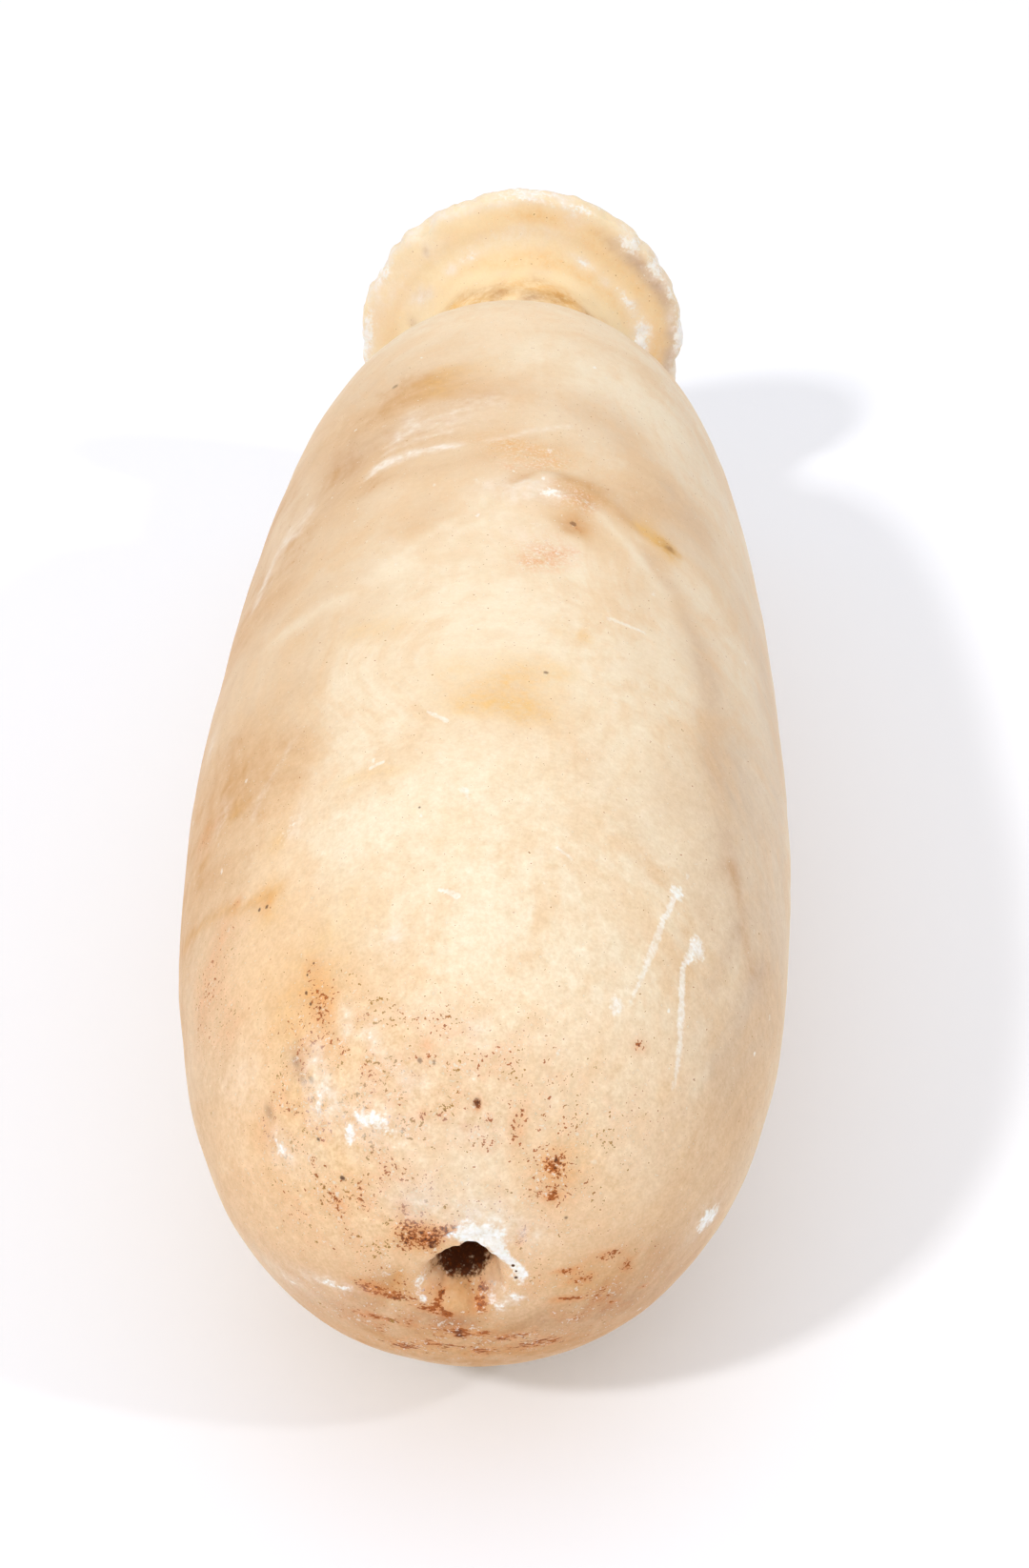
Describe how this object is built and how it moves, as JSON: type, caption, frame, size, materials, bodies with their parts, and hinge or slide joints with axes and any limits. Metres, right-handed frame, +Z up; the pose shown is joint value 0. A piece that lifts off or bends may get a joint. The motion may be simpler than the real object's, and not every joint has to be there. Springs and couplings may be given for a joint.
{
  "type": "alabaster alabastron",
  "caption": "Hollow long-bodied stone flask with a rounded, pierced base, a narrow neck and a flat disc rim, lying on its side on a small worn flat.",
  "frame": {"origin": "centre of the bounding box at its bottom: on the surface the flask lies on, under the middle of its length", "axes": "+Y along the flask's axis from the base to the mouth, +Z up with the flask lying on its side, +X to the right seen from the base end"},
  "size_m": [0.064, 0.1824, 0.0633],
  "materials": {
    "alabaster": "satin, worn, cloudy cream banding with rust and chalk stains"
  },
  "bodies": {
    "root": {"alabastron": "alabaster"}
  },
  "joints": []
}
